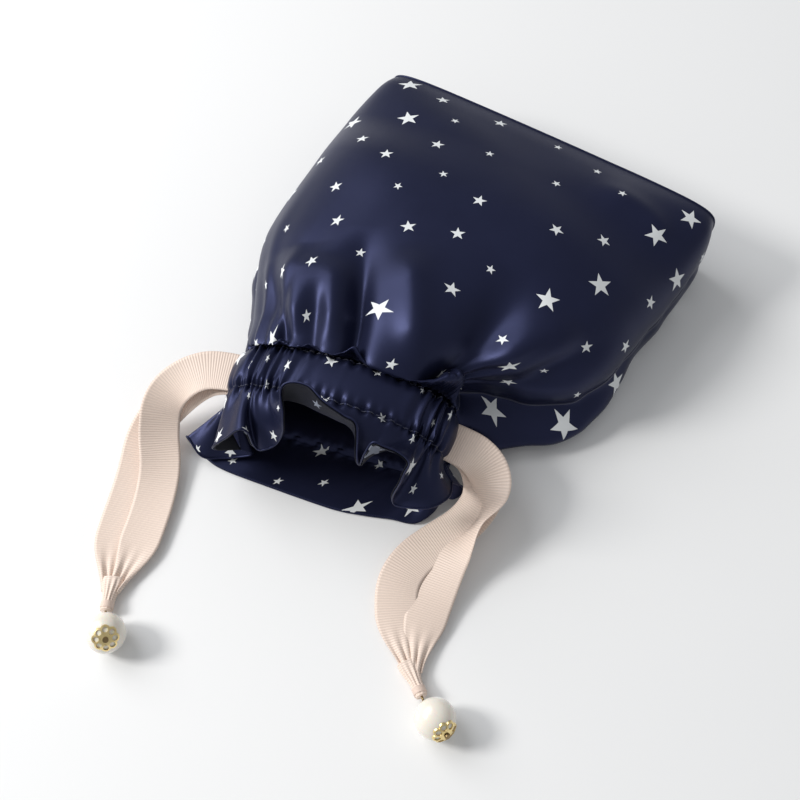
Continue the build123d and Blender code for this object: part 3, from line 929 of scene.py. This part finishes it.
# %% [markdown]
# ## Gathered ends of the casing
# At each end of the casing the cloth is drawn so tight that it makes a small bundle of pleats
# round the ribbon. It starts as a ball, squeezed to the bundle's size, with pleats pushed in.
# %% Casing ends
def casing_bundle(name, hand, height):
    bpy.ops.object.select_all(action="DESELECT")
    bpy.ops.mesh.primitive_uv_sphere_add(segments=96, ring_count=48, radius=1)
    piece = bpy.context.object
    piece.name = name
    ball = np.array([vertex.co[:] for vertex in piece.data.vertices])
    angle = np.arctan2(ball[:, 1], ball[:, 2])
    pleat = 1 + 0.07 * np.sin(9 * angle + 1.5 * np.sin(2 * angle)) * (1 - ball[:, 0] ** 2)
    x = hand * 33.5 + 6.0 * ball[:, 0]
    s = 8.2 * ball[:, 1] * pleat
    z = height + 5.5 * ball[:, 2] * pleat
    piece.data.vertices.foreach_set("co", (at_mouth(x, s, z) * MM).ravel())
    # the bundle is in the satin copy with painted shade, so its colour is darker than the satin's
    piece.data.materials.append(satin_inside)
    piece.data.uv_layers[0].name = "cloth"
    no_stars(piece)
    use_only(piece)
    bpy.ops.object.shade_smooth()
    return piece


left_bundle = casing_bundle("left_casing_bundle", -1, 23.5)
right_bundle = casing_bundle("right_casing_bundle", 1, 20.5)

# %% [markdown]
# ## The ribbon legs
# Each ribbon has two legs that leave the casing together, fall to the table and run to one
# pearl. A leg's line is a NURBS spline on the route's own points. A flat ribbon also rolls as it
# goes, so each leg has a few chosen directions for its far edge, and the strip turns smoothly
# from one to the next.
# %% Ribbon helper
RIBBON = 15.0  # width


def spline_points(route):
    """Points along the smooth spline that the route's points pull towards themselves."""
    data = bpy.data.curves.new("route", "CURVE")
    data.dimensions = "3D"
    data.resolution_u = 24
    line = data.splines.new("NURBS")
    line.points.add(len(route) - 1)
    for target, point in zip(line.points, route):
        target.co = (*point, 1)
    line.order_u = 3
    line.use_endpoint_u = True
    holder = bpy.data.objects.new("route", data)
    bpy.context.collection.objects.link(holder)
    mesh = bpy.data.meshes.new_from_object(holder)
    points = np.array([vertex.co[:] for vertex in mesh.vertices])
    bpy.data.objects.remove(holder)
    bpy.data.meshes.remove(mesh)
    return points


def ribbon_strip(name, route, rolls, curl=0.0):
    """A ribbon along a route in metres; rolls say where its far edge points, by share of length.
    Over its last stretch it is drawn narrow in pleats, ready for the whipping."""
    line = spline_points(route)
    run = length_along(line)
    rows, columns = 220, 14
    even = np.linspace(0, run[-1], rows + 1)
    middle = np.stack([np.interp(even, run, line[:, k]) for k in range(3)], 1)
    forwards = np.gradient(middle, axis=0)
    forwards /= np.linalg.norm(forwards, axis=1, keepdims=True)
    roll = smooth_rows([(share, *direction) for share, direction in rolls])
    edge = np.stack([np.interp(even / run[-1], roll[:, 0], roll[:, k]) for k in (1, 2, 3)], 1)
    edge -= (edge * forwards).sum(1, keepdims=True) * forwards
    edge /= np.linalg.norm(edge, axis=1, keepdims=True)
    face = np.cross(edge, forwards)
    width = np.linspace(-0.5, 0.5, columns + 1)
    drawn = smoothstep(even / run[-1], 0.81, 1.0)
    bow = curl * (width**2 - 0.08) * (1 + 3 * drawn[:, None])
    pleats = 0.9 * drawn[:, None] ** 1.5 * np.cos(2 * math.pi * 3 * width)[None]
    reach = RIBBON * (1 - 0.64 * drawn[:, None, None]) * width[None, :, None]
    points = middle[:, None] / MM + reach * edge[:, None]
    points = points + (bow + pleats)[..., None] * face[:, None]
    points[..., 2] = np.maximum(points[..., 2], 0.3)
    v, c = np.meshgrid(even / MM, RIBBON * width, indexing="ij")
    piece = sheet_piece(name, points, c, v, [], ribbon, wall=0.35)
    return piece, middle, run[-1]


LEFT_UPPER = [
    (-0.0320, -0.0610, 0.0250), (-0.0484, -0.0654, 0.0254), (-0.0575, -0.0740, 0.0235),
    (-0.0625, -0.0840, 0.0165), (-0.0585, -0.0935, 0.0090), (-0.0505, -0.1030, 0.0045),
    (-0.0450, -0.1135, 0.0030), (-0.0405, -0.1250, 0.0025), (-0.0365, -0.1370, 0.0025),
    (-0.0345, -0.1500, 0.0026),
]
LEFT_LOWER = [
    (-0.0320, -0.0610, 0.0236), (-0.0465, -0.0649, 0.0232), (-0.0560, -0.0745, 0.0180),
    (-0.0620, -0.0855, 0.0105), (-0.0635, -0.0965, 0.0045), (-0.0586, -0.1070, 0.0018),
    (-0.0540, -0.1180, 0.0010), (-0.0496, -0.1295, 0.0009), (-0.0444, -0.1405, 0.0009),
    (-0.0365, -0.1505, 0.0010),
]
RIGHT_UPPER = [
    (0.0280, -0.0453, 0.0220), (0.0440, -0.0425, 0.0218), (0.0530, -0.0430, 0.0190),
    (0.0590, -0.0470, 0.0150), (0.0615, -0.0550, 0.0110), (0.0605, -0.0650, 0.0085),
    (0.0590, -0.0750, 0.0055), (0.0608, -0.0875, 0.0032), (0.0632, -0.0985, 0.0026),
    (0.0662, -0.1080, 0.0026), (0.0702, -0.1165, 0.0027),
]
RIGHT_LOWER = [
    (0.0280, -0.0453, 0.0206), (0.0420, -0.0415, 0.0202), (0.0520, -0.0430, 0.0145),
    (0.0580, -0.0500, 0.0095), (0.0570, -0.0610, 0.0055), (0.0515, -0.0720, 0.0035),
    (0.0475, -0.0820, 0.0030), (0.0475, -0.0925, 0.0028), (0.0530, -0.1020, 0.0025),
    (0.0600, -0.1100, 0.0022), (0.0685, -0.1168, 0.0020),
]
LEGS = {
    ("left", "upper"): (
        LEFT_UPPER,
        [(0, (-0.26, 0.97, 0)), (0.2, (-0.3, 0.9, 0.25)), (0.36, (-0.6, 0.45, 0.65)),
         (0.52, (-0.95, -0.1, 0.3)), (0.7, (-0.93, -0.36, 0)), (1, (-0.93, -0.5, 0))],
    ),
    ("left", "lower"): (
        LEFT_LOWER,
        [(0, (-0.26, 0.97, 0)), (0.2, (-0.4, 0.85, 0.3)), (0.34, (-0.75, 0.4, 0.5)),
         (0.5, (-0.98, -0.2, 0.1)), (0.7, (-0.93, -0.36, 0)), (1, (-0.93, -0.5, 0))],
    ),
    ("right", "upper"): (
        RIGHT_UPPER,
        [(0, (-0.26, 0.97, 0)), (0.18, (0, 0.97, 0.15)), (0.32, (0.5, 0.6, 0.55)),
         (0.46, (0.4, 0.1, 0.9)), (0.6, (0.9, 0.1, 0.4)), (0.8, (0.97, -0.1, 0)), (1, (0.7, 0.7, 0))],
    ),
    ("right", "lower"): (
        RIGHT_LOWER,
        [(0, (-0.26, 0.97, 0)), (0.16, (-0.1, 0.97, 0.1)), (0.32, (0.6, 0.6, 0.3)),
         (0.5, (0.95, 0.2, 0.1)), (0.66, (0.95, -0.2, 0.0)), (0.85, (0.9, 0.3, 0)), (1, (0.6, 0.8, 0))],
    ),
}
legs = {}
for key, (route, rolls) in LEGS.items():
    legs[key] = ribbon_strip("_".join(key) + "_leg", route, rolls, curl=1.2)
    print(key, "leg is", round(legs[key][2] / MM, 1), "mm long")


# %% [markdown]
# ## Gathered ribbon ends and whippings
# Both legs are folded small where they meet, and a thread is wound round the neck. The gather
# is a loft: a flat pleated outline that shrinks to the neck's circle.
# %% Gathers
def unit(vector):
    vector = np.asarray(vector, float)
    return vector / np.linalg.norm(vector)


def ribbon_gather(name, start, neck_end, neck_radius=2.0, neck=4.0):
    start, neck_end = np.array(start), np.array(neck_end)
    heading = unit(neck_end - start)
    level = unit(np.cross(heading, UP))
    rise = np.cross(level, heading)
    length = np.linalg.norm(neck_end - start)
    rows, columns = 60, 96
    share = np.linspace(0, 1, rows + 1)
    angle = np.linspace(0, 2 * math.pi, columns + 1)
    closing = smoothstep(share * length, 0, length - neck)
    half_wide = 3.6 + closing * (neck_radius - 3.6)
    half_thick = 1.9 + closing * (neck_radius - 1.9)
    pleats = (0.10 * np.sin(11 * angle) + 0.05 * np.sin(7 * angle + 1))[None]
    fold = 1 + pleats * np.sin(math.pi * np.clip(share, 0, 1))[:, None] ** 0.7
    ring = np.cos(angle)[None] * half_wide[:, None] * fold
    lift = np.sign(np.sin(angle)) * np.abs(np.sin(angle)) ** 0.8
    lift = lift[None] * half_thick[:, None] * fold
    middle = start + share[:, None] * (neck_end - start)
    points = middle[:, None] + ring[..., None] * level + lift[..., None] * rise
    points[..., 2] = np.maximum(points[..., 2], 0.2)
    v, c = np.meshgrid(share * length, angle * 5, indexing="ij")
    piece = sheet_piece(name, points[:, ::-1], c, v, [], ribbon, wall=0)
    use_only(piece)
    bpy.ops.object.mode_set(mode="EDIT")
    bpy.ops.mesh.select_all(action="SELECT")
    bpy.ops.mesh.remove_doubles(threshold=1e-6)
    bpy.ops.mesh.select_all(action="DESELECT")
    bpy.ops.mesh.select_non_manifold()
    bpy.ops.mesh.edge_face_add()
    bpy.ops.mesh.select_all(action="SELECT")
    bpy.ops.mesh.normals_make_consistent(inside=False)
    bpy.ops.object.mode_set(mode="OBJECT")
    return piece, heading


def whipping(name, neck_end, heading, neck_radius=2.0, neck=4.0, turns=7, thread=0.22):
    level = unit(np.cross(heading, UP))
    rise = np.cross(level, heading)
    angle = np.linspace(0, 2 * math.pi * turns, 36 * turns)
    place = np.array(neck_end) - heading * (neck / 2 + 1.2)
    travel = np.linspace(0, 2.4, len(angle))
    ring = (neck_radius + thread * 0.8) * (np.cos(angle)[:, None] * level + np.sin(angle)[:, None] * rise)
    return round_along(name, place + travel[:, None] * heading + ring, thread, ribbon_thread)


TAILS = {
    "left": ((-37.6, -145.9, 1.8), (-31.6, -157.0, 3.0)),
    "right": ((66.0, -114.8, 1.8), (76.7, -122.3, 3.6)),
}
gathers, whippings = {}, {}
for hand, (start, neck_end) in TAILS.items():
    gathers[hand], heading = ribbon_gather(f"{hand}_gathered_end", start, neck_end)
    whippings[hand] = whipping(f"{hand}_whipping_thread", neck_end, heading)

# %% [markdown]
# ## Beads
# The pearls, flower caps and pins keep their shapes from the frame, and only their finish is new.
# %% Beads
def finish_node(name, material):
    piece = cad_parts[name]
    if not piece.material_slots:
        piece.data.materials.append(material)
    for slot in piece.material_slots:
        slot.material = material


for hand in ("left", "right"):
    finish_node(f"{hand}_pearl", pearl)
    finish_node(f"{hand}_flower_cap", gilt)
    finish_node(f"{hand}_pin", pin_metal)


def crosses_mouth(piece, slot, *nodes):
    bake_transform(piece)
    if nodes:
        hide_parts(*nodes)


def rides(piece, body, slot, *nodes):
    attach(piece, body)
    if nodes:
        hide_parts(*nodes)


crosses_mouth(front_panel, "satin", "front_panel")
crosses_mouth(front_mouth, "satin", "front_casing", "front_heading")
crosses_mouth(front_facing, "satin_inside", "front_facing")
crosses_mouth(front_hem_fold, "satin")
crosses_mouth(front_lower, "seam_thread", "front_lower_stitching")
crosses_mouth(front_upper, "seam_thread", "front_upper_stitching")
crosses_mouth(back_panel, "satin", "back_panel")
crosses_mouth(back_mouth, "satin", "back_casing", "back_heading")
crosses_mouth(back_facing, "satin_inside", "back_facing")
crosses_mouth(back_hem_fold, "satin")
crosses_mouth(back_lower, "seam_thread", "back_lower_stitching")
crosses_mouth(back_upper, "seam_thread", "back_upper_stitching")
crosses_mouth(left_seam, "seam_thread", "left_side_seam")
crosses_mouth(right_seam, "seam_thread", "right_side_seam")
crosses_mouth(left_bundle, "satin", "left_casing_end")
crosses_mouth(right_bundle, "satin", "right_casing_end")
for (side, hand), run in runs.items():
    crosses_mouth(run, "ribbon", f"{side}_{hand}_ribbon_run")
rides(base_panel, "pouch", "satin", "base_panel")
rides(base_seam, "pouch", "seam_thread", "base_seam")
for (hand, leg), (piece, _, _) in legs.items():
    rides(piece, f"{hand}_drawstring", "ribbon", f"{hand}_ribbon_{leg}_leg")
for hand in ("left", "right"):
    rides(gathers[hand], f"{hand}_drawstring", "ribbon", f"{hand}_ribbon_gather")
    rides(whippings[hand], f"{hand}_drawstring", "whipping_thread", f"{hand}_whipping")

# %% Finish
bpy.context.view_layer.update()
